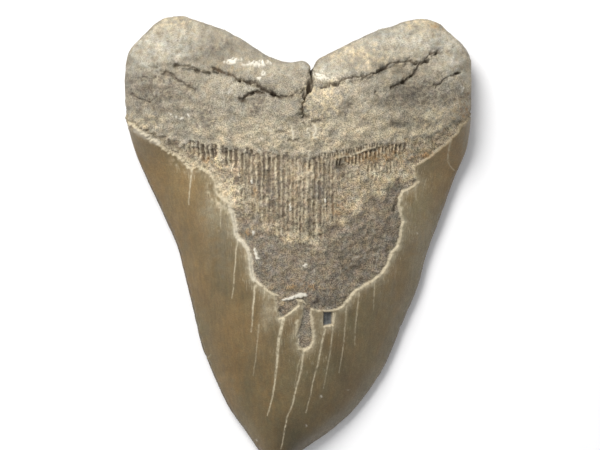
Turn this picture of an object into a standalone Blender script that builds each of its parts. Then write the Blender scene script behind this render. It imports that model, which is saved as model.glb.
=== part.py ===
"""Fossil megalodon tooth, lying flat with its bulging tongue-side (lingual) face up.

Frame: metres, +Z up. +Y runs from the crown's tip to the root, +X to the right as
seen from above, and the origin is under the middle of the tooth, on the surface that
it lies on. The tooth is one grown piece, so it is one solid.

The solid is a loft along X. Each section is a closed loop in a YZ plane: it starts on
the crown's cutting edge, crosses the upper face through the enamel's border, the foot
of the root and the fold of the root, turns over the root's rim, and comes back along
the flat lip-side (labial) face.
"""

import bmesh
import bpy
import numpy as np

MM = 0.001

# ---- driving dimensions, in millimetres -------------------------------------------
LENGTH = 154.4          # tip to the top of the root's lobes, along Y
WIDTH = 118.0           # across the root
ENAMEL = 0.9            # how far the enamel stands above the bare dentine
FOOT_STEP = 0.8         # how far the root's foot stands above the bare dentine
FOLD_DEPTH = 1.5        # depth of the crack along the root's fold
CLEFT_DEPTH = 3.5       # depth of the cleft below the notch
EDGE_Z = 4.0            # height of the crown's cutting edge above the surface
RIM_Z = 8.5             # height of the root's rim at its sides
NOTCH_RIM_Z = 14.0      # height of the root's rim in the notch between its lobes
RIM_ROUND = 13.0        # how far in from its rim the root reaches its full thickness
RIM_START_Y = 5.0       # where on the crown's edges that rounding begins to take over
SHOULDER_Y = 46.0       # where the cutting edges have become the root's sides
LENS_POWER = 2.1        # roundness of the crown's upper face across its width
FLAT_POWER = 3.0        # flatness of the crown's lower face across its width
BULGE_WIDTH = 30.0      # half-width of the root's middle bulge
REST_DEPTH = 0.8        # how far the lobes reach past their rest pads before they are flattened

# ---- outline, seen from above, in millimetres -------------------------------------
# The crown's two cutting edges, from the tip to the root's shoulders.
LEFT_EDGE = [(-8.2, -77.2), (-9.8, -76.2), (-14.1, -70.1), (-18.5, -63.8), (-23.4, -56.9),
             (-27.3, -49.1), (-30.6, -41.3), (-33.2, -34.5), (-36.6, -19.9), (-39.5, -8.1),
             (-41.3, -1.3), (-46.4, 10.4), (-52.7, 24.1), (-55.8, 31.9), (-57.9, 39.7),
             (-59.0, 46.0)]
RIGHT_EDGE = [(-8.2, -77.2), (-5.6, -75.9), (-1.8, -73.3), (4.9, -68.7), (10.9, -64.6),
              (17.4, -59.0), (22.5, -53.1), (26.6, -47.2), (30.3, -41.0), (36.1, -26.7),
              (41.0, -15.0), (44.2, -3.3), (48.6, 8.5), (53.4, 22.1), (57.5, 31.9),
              (58.7, 40.7), (59.2, 47.0)]
# The root's top, from the left lobe over the notch to the right lobe.
ROOT_TOP = [(-59.0, 52.0), (-58.9, 58.2), (-57.4, 65.1), (-52.9, 70.2), (-47.8, 75.2),
            (-43.2, 77.0), (-39.0, 77.1), (-33.2, 75.3), (-25.4, 72.6), (-18.5, 69.0),
            (-12.7, 65.1), (-8.0, 62.6), (-2.9, 61.4), (2.6, 61.0), (4.6, 59.0),
            (6.2, 61.9), (9.8, 64.1), (17.6, 68.0), (23.4, 71.0), (31.3, 73.6),
            (37.1, 75.6), (43.0, 76.2), (48.4, 74.4), (52.9, 70.4), (56.4, 67.3),
            (58.6, 63.1), (59.1, 57.3), (59.2, 52.0)]

# ---- lines across the upper face, in millimetres ----------------------------------
# Broken border of the enamel: a wide U with a bite on each side.
BORDER = [(-57.5, 41.5), (-51.9, 36.4), (-46.3, 32.5), (-41.9, 29.9), (-38.0, 26.2),
          (-34.5, 25.8), (-30.2, 23.4), (-27.4, 20.2), (-24.5, 14.7), (-22.2, 10.3),
          (-20.4, 2.0), (-17.6, -2.5), (-15.4, -9.4), (-12.6, -14.6), (-8.2, -17.8),
          (-2.4, -19.1), (2.8, -19.4), (5.4, -22.2), (9.6, -22.6), (14.6, -21.2),
          (17.8, -18.0), (20.8, -14.9), (26.2, -12.0), (30.2, -7.6), (33.4, -0.6),
          (35.4, 6.0), (36.6, 14.6), (39.0, 20.0), (41.4, 26.6), (45.2, 29.4),
          (50.8, 33.9), (54.6, 37.6), (57.6, 41.8)]
# Foot of the root, a shallow groove above the bare dentine.
FOOT = [(-57.5, 43.5), (-52.0, 38.9), (-45.9, 35.7), (-36.7, 32.7), (-23.1, 31.0),
        (-11.2, 30.6), (0.7, 29.3), (10.9, 29.9), (22.8, 32.3), (34.7, 34.4), (44.9, 36.1),
        (52.0, 39.6), (57.6, 44.0)]
# Cracked fold where the root turns back towards its top.
FOLD = [(-57.5, 59.0), (-50.0, 60.8), (-41.7, 60.3), (-32.7, 58.4), (-24.4, 57.2),
        (-15.7, 54.6), (-8.8, 50.8), (-1.0, 50.5), (4.8, 53.4), (13.7, 54.4), (24.1, 56.8),
        (29.4, 59.9), (42.0, 61.3), (48.0, 64.6), (57.6, 60.0)]
# Cleft that runs down from the notch, as (y, x).
CLEFT = [(42.0, 1.6), (48.0, 2.0), (51.5, 3.8), (55.0, 5.2), (60.0, 4.8)]

# ---- heights along the tooth, as (y, z), in millimetres ---------------------------
UPPER_MIDDLE = [(-77.2, 4.6), (-74.0, 7.0), (-70.0, 9.4), (-60.0, 13.6), (-40.0, 19.0),
                (-20.0, 22.6), (0.0, 25.0), (20.0, 26.6), (30.0, 27.4), (40.0, 29.6),
                (50.0, 31.2), (56.0, 30.0), (62.0, 26.0)]
UPPER_LOBE = [(20.0, 17.0), (30.0, 18.4), (45.0, 20.4), (58.0, 21.0), (68.0, 18.6),
              (77.5, 14.0)]
LOWER_MIDDLE = [(-77.2, 4.0), (-74.0, 2.6), (-70.0, 1.5), (-60.0, 0.2), (-50.0, -0.3),
                (-30.0, -0.3), (-10.0, 0.2), (10.0, 0.8), (30.0, 1.8), (50.0, 3.2),
                (62.0, 5.0)]
EDGE_HEIGHT = [(-77.2, EDGE_Z + 0.2), (-60.0, EDGE_Z - 0.4), (-20.0, EDGE_Z),
               (20.0, EDGE_Z + 1.2), (SHOULDER_Y, RIM_Z)]
LOBE_CENTRE = (44.0, 60.0)      # middle of each lobe's rest pad, at +X and -X
LOBE_PAD = (17.0, 15.0)         # its reach along X and along Y

# ---- how finely the loft is divided -----------------------------------------------
SIDE_OFFSETS = [0.12, 0.5, 1.2, 2.2, 3.6, 5.4]      # first sections in from each side
SECTION_STEP = 2.1                                  # spacing of the others
CLEFT_SECTIONS = [1.0, 1.9, 2.8, 3.7, 4.6, 5.5, 6.4, 7.4]
CROWN_ROWS = 13
BARE_ROWS = 5
ROOT_ROWS = 5
LOBE_ROWS = 7
LOWER_ROWS = 15


def smooth_curve(points, steps=8):
    """Samples of a Catmull-Rom curve through the points."""
    p = np.array(points, dtype=float)
    p = np.vstack([2 * p[0] - p[1], p, 2 * p[-1] - p[-2]])
    samples = []
    for i in range(1, len(p) - 2):
        for t in np.arange(steps) / steps:
            samples.append(0.5 * (2 * p[i] + (p[i + 1] - p[i - 1]) * t
                                  + (2 * p[i - 1] - 5 * p[i] + 4 * p[i + 1] - p[i + 2]) * t ** 2
                                  + (3 * p[i] - p[i - 1] - 3 * p[i + 1] + p[i + 2]) * t ** 3))
    samples.append(p[-2])
    return np.array(samples)


def line(points):
    """A smooth function of the points' first coordinate."""
    samples = smooth_curve(points)
    first = np.maximum.accumulate(samples[:, 0])
    return lambda at: np.interp(at, first, samples[:, 1])


def ramp(low, high, value):
    """Smooth step from 0 at low to 1 at high."""
    t = np.clip((value - low) / (high - low), 0.0, 1.0)
    return t * t * (3 - 2 * t)


def bump(value, centre, width):
    """Bell of height 1 around the centre."""
    return np.exp(-((value - centre) / width) ** 2)


left_edge = smooth_curve(LEFT_EDGE)
right_edge = smooth_curve(RIGHT_EDGE)
root_top = smooth_curve(ROOT_TOP)
border_y = line(BORDER)
foot_y = line(FOOT)
fold_y = line(FOLD)
cleft_x = line(CLEFT)
upper_middle = line(UPPER_MIDDLE)
upper_lobe = line(UPPER_LOBE)
lower_middle = line(LOWER_MIDDLE)
edge_height = line(EDGE_HEIGHT)
# The rim that the root's thickness is rounded from: its two sides and its top.
root_rim = np.vstack([left_edge[left_edge[:, 1] > RIM_START_Y], root_top,
                      right_edge[right_edge[:, 1] > RIM_START_Y][::-1]])


def crown_low_y(x):
    """Y of the cutting edge at a given x."""
    if x < left_edge[0, 0]:
        return float(np.interp(x, left_edge[::-1, 0], left_edge[::-1, 1]))
    return float(np.interp(x, right_edge[:, 0], right_edge[:, 1]))


def root_high_y(x):
    """Y of the root's top at a given x."""
    return float(np.interp(x, np.maximum.accumulate(root_top[:, 0]), root_top[:, 1]))


def rim_distance(x, y):
    """Distance from each point to the root's rim."""
    a, b = root_rim[:-1], root_rim[1:]
    along = b - a
    rel_x = x[:, None] - a[None, :, 0]
    rel_y = y[:, None] - a[None, :, 1]
    length2 = np.maximum((along ** 2).sum(axis=1), 1e-9)
    t = np.clip((rel_x * along[:, 0] + rel_y * along[:, 1]) / length2, 0.0, 1.0)
    return np.hypot(rel_x - t * along[:, 0], rel_y - t * along[:, 1]).min(axis=1)


def crown_reach(x, y):
    """0 on the crown's middle line, 1 on its cutting edges."""
    left = np.interp(y, left_edge[:, 1], left_edge[:, 0])
    right = np.interp(y, right_edge[:, 1], right_edge[:, 0])
    half = np.maximum((right - left) / 2, 0.05)
    return np.clip(np.abs(x - (left + right) / 2) / half, 0.0, 1.0)


def rim_height(x, y):
    """Height of the seam between the two faces: cutting edge, root side or notch."""
    root = RIM_Z + (NOTCH_RIM_Z - RIM_Z) * bump(x, 4.6, 18.0) * ramp(40.0, 58.0, y)
    return np.where(y < SHOULDER_Y, edge_height(y), root)


def rounding(distance):
    """Quarter circle from 0 at the rim to 1 at RIM_ROUND and beyond."""
    inside = np.clip(1 - distance / RIM_ROUND, 0.0, 1.0)
    return np.sqrt(1 - inside ** 2)


def relief(x, y):
    """Steps and grooves that break the upper face."""
    bare = (y > border_y(x)) & (y < foot_y(x))
    steps = ENAMEL * bare + (ENAMEL - FOOT_STEP) * (y >= foot_y(x)) * ramp(58.0, 44.0, y)
    fold = FOLD_DEPTH * bump(y, fold_y(x), 0.9) * ramp(52.0, 40.0, np.abs(x))
    cleft = CLEFT_DEPTH * bump(x, cleft_x(y), 1.5) * ramp(43.0, 50.0, y)
    return steps + fold + cleft


def upper_z(x, y):
    """Height of the upper, tongue-side face."""
    rim = rim_height(x, y)
    lens = (1 - crown_reach(x, y) ** LENS_POWER) ** 0.95
    crown = rim + (upper_middle(y) - rim) * lens
    middle = bump(x, 0.0, BULGE_WIDTH)
    full = upper_lobe(y) + (upper_middle(y) - upper_lobe(y)) * middle
    full = full - 3.0 * bump(x, 4.6, 9.0) * ramp(46.0, 62.0, y)
    root = rim + (full - rim) * rounding(rim_distance(x, y))
    face = crown + (root - crown) * ramp(24.0, 44.0, y)
    thickness = face - lower_z(x, y)
    return face - relief(x, y) * ramp(0.5, 8.0, thickness)


def lower_z(x, y):
    """Height of the lower, lip-side face, flat where the tooth rests."""
    rim = rim_height(x, y)
    crown = lower_middle(y) + (rim - lower_middle(y)) * crown_reach(x, y) ** FLAT_POWER
    pad = bump(np.abs(x), LOBE_CENTRE[0], LOBE_PAD[0]) * bump(y, LOBE_CENTRE[1], LOBE_PAD[1])
    full = lower_middle(y) * (1 - pad) - REST_DEPTH * pad
    root = rim - (rim - full) * rounding(rim_distance(x, y))
    return np.maximum(crown + (root - crown) * ramp(20.0, 48.0, y), 0.0)


def spread(values, gap):
    """The values in order, moved apart where they come closer than the gap."""
    out = list(values)
    for i in range(1, len(out) - 1):
        out[i] = max(out[i], out[i - 1] + gap)
    for i in range(len(out) - 2, 0, -1):
        out[i] = min(out[i], out[i + 1] - gap)
    return out


def between(low, high, count, ease_low=1.0, ease_high=1.0):
    """Inner points from low to high, crowded at an end whose ease is above 1."""
    t = np.arange(1, count + 1) / (count + 1)
    t = t ** ease_low
    t = 1 - (1 - t) ** ease_high
    return list(low + (high - low) * t)


def section(x):
    """One loop of the loft: rows of (y, z) up the upper face and back down the lower."""
    low, high = crown_low_y(x), root_high_y(x)
    gap = min(0.7, (high - low) / 30)
    marks = spread([low, border_y(x) - 0.35, border_y(x) + 0.35, foot_y(x) - 0.5,
                    foot_y(x) + 0.5, fold_y(x) - 1.2, fold_y(x), fold_y(x) + 1.2, high], gap)
    upper = between(marks[0], marks[1], CROWN_ROWS, ease_low=1.5) + [marks[1], marks[2]]
    upper += between(marks[2], marks[3], BARE_ROWS) + [marks[3], marks[4]]
    upper += between(marks[4], marks[5], ROOT_ROWS) + [marks[5], marks[6], marks[7]]
    upper += between(marks[7], marks[8], LOBE_ROWS, ease_high=2.0)
    lower = between(high, low, LOWER_ROWS, ease_low=1.7, ease_high=1.4)
    seam = np.array([low, high])
    seam_z = rim_height(np.full(2, x), seam)
    upper_y, lower_y = np.array(upper), np.array(lower)
    top_z = upper_z(np.full(len(upper), x), upper_y)
    base_z = lower_z(np.full(len(lower), x), lower_y)
    loop = [(seam[0], seam_z[0])] + list(zip(upper_y, top_z))
    loop += [(seam[1], seam_z[1])] + list(zip(lower_y, base_z))
    return loop


def section_places():
    """X of every section, from the left side to the right side."""
    left, right = left_edge[-1, 0], right_edge[-1, 0]
    inner_left = left + SIDE_OFFSETS[-1]
    inner_right = right - SIDE_OFFSETS[-1]
    count = int(round((inner_right - inner_left) / SECTION_STEP))
    places = list(np.linspace(inner_left, inner_right, count + 1))
    near_cleft = (CLEFT_SECTIONS[0] - 0.8, CLEFT_SECTIONS[-1] + 0.8)
    places = [x for x in places if not near_cleft[0] < x < near_cleft[1]]
    places += CLEFT_SECTIONS
    places += [left + offset for offset in SIDE_OFFSETS[:-1]]
    places += [right - offset for offset in SIDE_OFFSETS[:-1]]
    tip_x = left_edge[0, 0]
    nearest = min(range(len(places)), key=lambda i: abs(places[i] - tip_x))
    places[nearest] = tip_x
    return sorted(places)


def fit(values, size):
    """A function that centres a coordinate on 0 and stretches its span to the size."""
    low, high = min(values), max(values)
    return lambda value: (value - (low + high) / 2) * size / (high - low)


def loft(name, places):
    """Closed mesh through the sections, with a flat cap at each side."""
    sections = [section(x) for x in places]
    fit_x = fit(places, WIDTH)
    fit_y = fit([y for loop in sections for y, z in loop], LENGTH)
    bm = bmesh.new()
    loops = []
    for x, loop in zip(places, sections):
        loops.append([bm.verts.new((fit_x(x) * MM, fit_y(y) * MM, z * MM)) for y, z in loop])
    for one, two in zip(loops[:-1], loops[1:]):
        for i in range(len(one)):
            j = (i + 1) % len(one)
            bm.faces.new((one[i], one[j], two[j], two[i]))
    bm.faces.new(loops[0][::-1])
    bm.faces.new(loops[-1])
    bmesh.ops.triangulate(bm, faces=bm.faces[:])
    bmesh.ops.recalc_face_normals(bm, faces=bm.faces[:])
    mesh = bpy.data.meshes.new(name)
    bm.to_mesh(mesh)
    bm.free()
    mesh.shade_smooth()
    mesh.set_sharp_from_angle(angle=np.radians(40.0))
    return mesh


def fossil_material():
    """Grey-brown mineralised tooth, satin on the enamel and dull on the root."""
    material = bpy.data.materials.new("fossil_tooth")
    material.use_nodes = True
    shader = material.node_tree.nodes["Principled BSDF"]
    shader.inputs["Base Color"].default_value = (0.27, 0.225, 0.155, 1.0)
    shader.inputs["Roughness"].default_value = 0.6
    shader.inputs["Metallic"].default_value = 0.0
    return material


def clear_scene():
    for obj in list(bpy.data.objects):
        bpy.data.objects.remove(obj, do_unlink=True)


def build():
    clear_scene()
    collection = bpy.data.collections.new("megalodon_tooth")
    bpy.context.scene.collection.children.link(collection)
    tooth = bpy.data.objects.new("tooth", loft("tooth", section_places()))
    tooth.data.materials.append(fossil_material())
    collection.objects.link(tooth)


build()
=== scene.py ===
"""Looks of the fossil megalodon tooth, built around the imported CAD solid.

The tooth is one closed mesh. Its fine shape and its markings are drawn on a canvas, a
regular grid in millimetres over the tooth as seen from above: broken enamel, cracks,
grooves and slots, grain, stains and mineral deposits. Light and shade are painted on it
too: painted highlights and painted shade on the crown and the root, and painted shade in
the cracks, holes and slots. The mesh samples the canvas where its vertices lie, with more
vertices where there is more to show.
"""

import bpy
import numpy as np
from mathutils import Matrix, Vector
from mathutils.geometry import delaunay_2d_cdt


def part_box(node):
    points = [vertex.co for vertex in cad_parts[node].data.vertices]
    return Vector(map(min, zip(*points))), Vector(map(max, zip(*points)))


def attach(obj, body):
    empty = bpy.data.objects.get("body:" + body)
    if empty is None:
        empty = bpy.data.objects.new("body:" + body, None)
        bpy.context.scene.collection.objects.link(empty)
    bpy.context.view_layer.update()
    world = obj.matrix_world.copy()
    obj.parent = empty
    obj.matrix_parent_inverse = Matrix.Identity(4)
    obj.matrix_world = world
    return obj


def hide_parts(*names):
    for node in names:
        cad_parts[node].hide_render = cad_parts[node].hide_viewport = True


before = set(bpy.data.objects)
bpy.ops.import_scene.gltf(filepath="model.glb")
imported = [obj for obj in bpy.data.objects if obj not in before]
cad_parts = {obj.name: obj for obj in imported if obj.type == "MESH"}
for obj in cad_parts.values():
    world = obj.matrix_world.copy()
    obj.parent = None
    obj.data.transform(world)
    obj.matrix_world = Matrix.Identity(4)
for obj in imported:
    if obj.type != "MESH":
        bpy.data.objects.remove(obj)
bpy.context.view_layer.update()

MM = 0.001
TOOTH_BOX = [np.array(corner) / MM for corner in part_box("tooth")]

# ---- the view that the places below were measured in ----
PX_PER_MM = 2.94                # on the plane of the tooth's outline
FRAME_WIDTH_PX = 600
VIEW_CENTRE = (0.7, 6.1)        # x, y under the middle of the image, in mm
PLANE_Z = 8.5                   # height of that plane, mm
CAMERA_Z = 640.0                # height of the camera, mm

# ---- shape, as in the CAD model, in mm ----
EDGE_Z = 4.0
RIM_Z = 8.5
NOTCH_RIM_Z = 14.0
RIM_ROUND = 13.0
RIM_START_Y = 5.0
SHOULDER_Y = 46.0
LENS_POWER = 2.1
FLAT_POWER = 3.0
BULGE_WIDTH = 30.0
REST_DEPTH = 0.8
LOBE_CENTRE = (44.0, 60.0)
LOBE_PAD = (17.0, 15.0)

LEFT_EDGE = [
    (-8.2, -77.2), (-9.8, -76.2), (-14.1, -70.1), (-18.5, -63.8), (-23.4, -56.9), (-27.3, -49.1),
    (-30.6, -41.3), (-33.2, -34.5), (-36.6, -19.9), (-39.5, -8.1), (-41.3, -1.3), (-46.4, 10.4),
    (-52.7, 24.1), (-55.8, 31.9), (-57.9, 39.7), (-59, 46),
]
RIGHT_EDGE = [
    (-8.2, -77.2), (-5.6, -75.9), (-1.8, -73.3), (4.9, -68.7), (10.9, -64.6), (17.4, -59), (22.5, -53.1),
    (26.6, -47.2), (30.3, -41), (36.1, -26.7), (41, -15), (44.2, -3.3), (48.6, 8.5), (53.4, 22.1),
    (57.5, 31.9), (58.7, 40.7), (59.2, 47),
]
ROOT_TOP = [
    (-59, 52), (-58.9, 58.2), (-57.4, 65.1), (-52.9, 70.2), (-47.8, 75.2), (-43.2, 77), (-39, 77.1),
    (-33.2, 75.3), (-25.4, 72.6), (-18.5, 69), (-12.7, 65.1), (-8, 62.6), (-2.9, 61.4), (2.6, 61),
    (4.6, 59), (6.2, 61.9), (9.8, 64.1), (17.6, 68), (23.4, 71), (31.3, 73.6), (37.1, 75.6), (43, 76.2),
    (48.4, 74.4), (52.9, 70.4), (56.4, 67.3), (58.6, 63.1), (59.1, 57.3), (59.2, 52),
]
UPPER_MIDDLE = [
    (-77.2, 4.6), (-74, 7), (-70, 9.4), (-60, 13.6), (-40, 19), (-20, 22.6), (0, 25), (20, 26.6),
    (30, 27.4), (40, 29.6), (50, 31.2), (56, 30), (62, 26),
]
UPPER_LOBE = [
    (20, 17), (30, 18.4), (45, 20.4), (58, 21), (68, 18.6), (77.5, 14),
]
LOWER_MIDDLE = [
    (-77.2, 4), (-74, 2.6), (-70, 1.5), (-60, 0.2), (-50, -0.3), (-30, -0.3), (-10, 0.2), (10, 0.8),
    (30, 1.8), (50, 3.2), (62, 5),
]
EDGE_HEIGHT = [
    (-77.2, EDGE_Z + 0.2), (-60, EDGE_Z - 0.4), (-20, EDGE_Z), (20, EDGE_Z + 1.2), (SHOULDER_Y, RIM_Z),
]

# ---- lines on the upper face, in mm ----
BORDER = [
    (-70, 47), (-60, 42.6), (-56.6, 40.3), (-54.5, 38.6), (-51.9, 36.4), (-48.8, 34.3), (-46.3, 32.5),
    (-44.5, 30.8), (-41.9, 29.9), (-39.7, 28.6), (-38, 26.2), (-36.3, 25.2), (-34.5, 26), (-32.8, 25.2),
    (-30.2, 23.4), (-28, 21.7), (-26.9, 18.2), (-24.5, 14.7), (-23, 12.3), (-22.2, 10.3), (-21.4, 6.8),
    (-20.9, 3.3), (-20.3, 1.7), (-18.7, 0.6), (-17.1, -1.8), (-16, -4.9), (-15.8, -8.8), (-15.2, -11.5),
    (-14, -13.1), (-12.4, -14.3), (-10.5, -16.2), (-8.2, -17.4), (-5.8, -18.6), (-2.7, -19.1), (1.5, -19.6),
    (3.9, -22.2), (6.7, -22.9), (9.5, -23), (12.6, -22.8), (14.7, -21.7), (16.4, -20.1), (17.8, -18),
    (19.6, -15.9), (22.7, -14.2), (25.1, -12.8), (27.2, -11.4), (29.3, -9.3), (30.7, -6.2), (32, -3.1),
    (33.8, -1), (34.8, 1.4), (35.5, 5.6), (35.9, 7.3), (35.2, 9.8), (34.7, 12.6), (34.7, 15.3),
    (35.8, 17.7), (37.8, 18.5), (39.7, 19.6), (41.1, 20.8), (40.5, 22), (39.7, 24.7), (39.7, 26.1),
    (41.7, 27), (43.6, 28.2), (46.8, 30.7), (48.7, 32.1), (51.1, 34.1), (52.6, 35.6), (54.6, 37.6),
    (55.8, 40.2), (58.5, 42.5), (70, 47),
]
# Three pieces of enamel that chipped off below the border, down to the dentine.
CHIP_TRIANGLE = [
    (-7.6, -18.2), (-7, -22.8), (-6.5, -25.7), (-5.1, -25.4), (-2.6, -23.5), (0.2, -21.2), (-1, -18.6),
]
CHIP_DROP = [
    (2, -20.8), (1.8, -24.5), (0.9, -28.2), (-0.3, -31.6), (-0.2, -34.2), (0.7, -35.8), (1.9, -36.7),
    (3.9, -35.6), (5, -33.4), (5, -31), (4.5, -28.2), (4.3, -24.5), (4.4, -21.4),
]
CHIP_SLOT = [(8.8, -23.7), (8.8, -28.3), (11.9, -28.0), (11.9, -23.7)]
FOOT = [
    (-64, 47), (-57.5, 43), (-52, 38.4), (-45.9, 35.7), (-36.7, 32.9), (-23.1, 31), (-11.2, 30.6),
    (0.7, 29.5), (10.9, 29.9), (22.8, 32.3), (34.7, 34.4), (44.9, 36.1), (52, 39.4), (57.6, 43.5), (64, 47),
]
FOLD = [
    (-64, 59), (-57.5, 59.6), (-50, 60.8), (-41.7, 60.3), (-32.7, 58.4), (-24.4, 57.2), (-15.7, 54.6),
    (-8.8, 50.8), (-1, 50.5), (4.8, 53.4), (13.7, 54.4), (24.1, 56.8), (29.4, 59.9), (42, 61.3), (48, 64.6),
    (57.6, 60), (64, 59),
]
# Lower limit of the tan, slotted part of the dentine: a wide V.
CHEVRON = [
    (-40, 25), (-33, 21.5), (-24, 15), (-14, 8), (-6, 2.5), (1, 0.6), (8, 4), (17, 9.5), (25, 15), (33, 20),
    (42, 24),
]

# Dark cracks of the root: points, width and depth in mm.
ROOT_CRACKS = [
    ([(-41.7, 60.4), (-40.9, 60), (-38, 60.2), (-35.1, 59.2), (-32.7, 58.3), (-30.1, 57.9)], 0.62, 0.75),
    ([(-28.9, 59.4), (-26.9, 58.7), (-24.4, 57.7), (-22.3, 57.1), (-20.6, 55.6), (-19.7, 55.2)], 1, 1.1),
    ([(-18.2, 55.2), (-15.7, 54.8), (-13.6, 54), (-11.6, 52.1), (-8.7, 50.9), (-6.2, 49.7)], 1, 1.2),
    ([(-19.4, 48.6), (-18.2, 49.7), (-16.5, 50.7), (-14.9, 51.5), (-13.6, 51.5), (-11.9, 51)], 1.2, 1.2),
    ([(-50.7, 60), (-48.3, 59.8)], 0.45, 0.4),
    ([(-46, 57.7), (-44.6, 58.3), (-42.5, 57.1), (-41.3, 55.9), (-39.2, 54.4), (-35.5, 52.1)], 0.65, 0.7),
    ([(-56.9, 50.5), (-54.1, 48.8), (-50.3, 47.6)], 0.6, 0.5),
    ([(-53.7, 56.6), (-51.4, 56.3), (-48.6, 56.1)], 0.4, 0.35),
    ([(-6.2, 49.7), (-2.9, 49.5), (-0.3, 51.4), (2, 52.7)], 0.6, 0.7),
    ([(7.8, 53.4), (11.2, 53.9), (13.7, 54.4), (15.9, 55.7), (19, 56.4), (21.6, 56.8), (24.1, 56.8),
      (26.8, 57.9), (29.4, 60.1), (32, 61.2), (35, 61.4), (37.6, 61.8), (40.2, 61.4), (42, 61.2),
      (43.7, 62.7), (45, 64.2), (46.7, 65.1), (48, 65.1)], 0.7, 1),
    ([(32, 52.7), (35.9, 55.1), (37.6, 56), (38.9, 57), (40.2, 58.8), (41.5, 61)], 0.9, 0.9),
    ([(46.7, 53.6), (48.5, 54.3), (49.8, 55.5), (51.9, 56.8), (54.1, 57.5), (55.9, 57.9)], 0.55, 0.6),
]
CLEFT = [
    (4.9, 61.5), (4.4, 57.3), (5.2, 54.4), (3.6, 51.7), (2, 48.5), (1.5, 45.1), (1.5, 42.6),
]

# Cream cracks of the enamel: points, width at the top and at the end in mm, strength.
ENAMEL_CRACKS = [
    ([(-36.3, 24.6), (-37.1, 16.5), (-37.3, 13)], 0.75, 0.45, 0.9),
    ([(-26.3, 16.5), (-26.4, 10.5), (-26.5, 4.8)], 0.6, 0.35, 0.75),
    ([(-20.5, 1.4), (-21.3, -3), (-21.4, -6.8), (-21.8, -10.7), (-22, -15), (-22.6, -18.9)],
      0.6, 0.3, 0.85),
    ([(-13.6, -13.1), (-14.8, -15), (-15, -18.6), (-15.4, -22.1), (-15.6, -26), (-16, -30.3)],
      0.9, 0.35, 0.95),
    ([(-13.3, -27.9), (-13.9, -33), (-14.4, -38.7), (-15.3, -45.1)], 0.45, 0.3, 0.5),
    ([(-5, -25.4), (-5.8, -29.5), (-6.5, -32.3), (-6.9, -36.4), (-7.1, -40.1), (-8, -47.8), (-8.5, -51.5),
      (-9.9, -56.9), (-10.5, -58.7)], 1.3, 0.4, 0.95),
    ([(1.9, -36.5), (1.1, -43.3), (-0.7, -49.6), (-1.9, -55.1), (-3.7, -59.2), (-4.6, -63.7),
      (-5.3, -68.3), (-5.8, -70.1)], 0.75, 0.4, 0.9),
    ([(1.2, -38.1), (0, -41.8), (-0.6, -45.9), (-1.4, -49.3)], 0.3, 0.2, 0.5),
    ([(9, -28), (9.3, -29.6), (8.1, -34.1), (7, -40.5), (5.2, -46.9), (4.3, -51.9), (2.7, -57.8)],
      0.8, 0.3, 0.85),
    ([(12.9, -22.4), (11.9, -28.8), (11.1, -36.9), (10, -42.8), (8.8, -49.6)], 0.6, 0.3, 0.7),
    ([(16.4, -20.4), (16.4, -24.6), (15.7, -34), (15, -38.7), (14, -44.2)], 0.5, 0.25, 0.75),
    ([(21, -15.4), (20.4, -21.8), (19.6, -28.8), (19.4, -35)], 0.6, 0.25, 0.75),
    ([(26.2, -12.6), (26, -17.3), (25.8, -22.9)], 0.45, 0.25, 0.7),
    ([(51.4, 34.5), (50.7, 30.6), (50.8, 27.8), (51.6, 26.2), (53.4, 24.7)], 0.5, 0.35, 0.75),
    ([(40.1, 19.3), (40.3, 14.6)], 0.55, 0.45, 0.6), ([(-31, -39.5), (-29.9, -38.1)], 0.35, 0.2, 0.5),
]

CELL = 0.1                      # canvas cell, mm
CANVAS_X = (-63.0, 63.0)
CANVAS_Y = (-81.0, 81.0)
ROLL = 10.0                     # width of the band inside the rim that the layout widens
REACH = 6.0                     # how far the distances to outlines are measured, mm
ENAMEL_STEP = 0.85              # enamel's thickness at its broken border, mm
SEED = 7


# ---- small tools ----
def smooth_curve(points, steps=8):
    """Samples of a Catmull-Rom curve through the points."""
    p = np.array(points, dtype=float)
    p = np.vstack([2 * p[0] - p[1], p, 2 * p[-1] - p[-2]])
    t = (np.arange(steps) / steps)[:, None]
    runs = [0.5 * (2 * b + (c - a) * t + (2 * a - 5 * b + 4 * c - d) * t ** 2
                   + (3 * b - a - 3 * c + d) * t ** 3)
            for a, b, c, d in zip(p[:-3], p[1:-2], p[2:-1], p[3:])]
    return np.vstack(runs + [p[-2]])


def line(points):
    """A smooth function of the points' first coordinate."""
    samples = smooth_curve(points)
    first = np.maximum.accumulate(samples[:, 0])
    return lambda at: np.interp(at, first, samples[:, 1])


def ramp(low, high, value):
    """Smooth step from 0 at low to 1 at high."""
    t = np.clip((value - low) / (high - low), 0, 1)
    return t * t * (3 - 2 * t)


def unit(value):
    """The value, kept between 0 and 1."""
    return np.clip(value, 0, 1)


def bump(value, centre, width):
    """Bell of height 1 around the centre."""
    return np.exp(-((value - centre) / width) ** 2)


def evenly(points, spacing):
    """The open polyline's points moved to an even spacing, both ends kept."""
    points = np.asarray(points, dtype=float)
    along = np.concatenate([[0], np.cumsum(np.hypot(*np.diff(points, axis=0).T))])
    count = max(2, int(round(along[-1] / spacing)) + 1)
    at = np.linspace(0, along[-1], count)
    return np.column_stack([np.interp(at, along, points[:, i]) for i in (0, 1)])


# ---- the tooth's broad shape ----
left_edge, right_edge = smooth_curve(LEFT_EDGE), smooth_curve(RIGHT_EDGE)
root_top = smooth_curve(ROOT_TOP)
upper_middle, upper_lobe = line(UPPER_MIDDLE), line(UPPER_LOBE)
lower_middle, edge_height = line(LOWER_MIDDLE), line(EDGE_HEIGHT)
foot_y, fold_y, chevron_y = line(FOOT), line(FOLD), line(CHEVRON)
root_rim = np.vstack([left_edge[left_edge[:, 1] > RIM_START_Y], root_top,
                      right_edge[right_edge[:, 1] > RIM_START_Y][::-1]])


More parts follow.
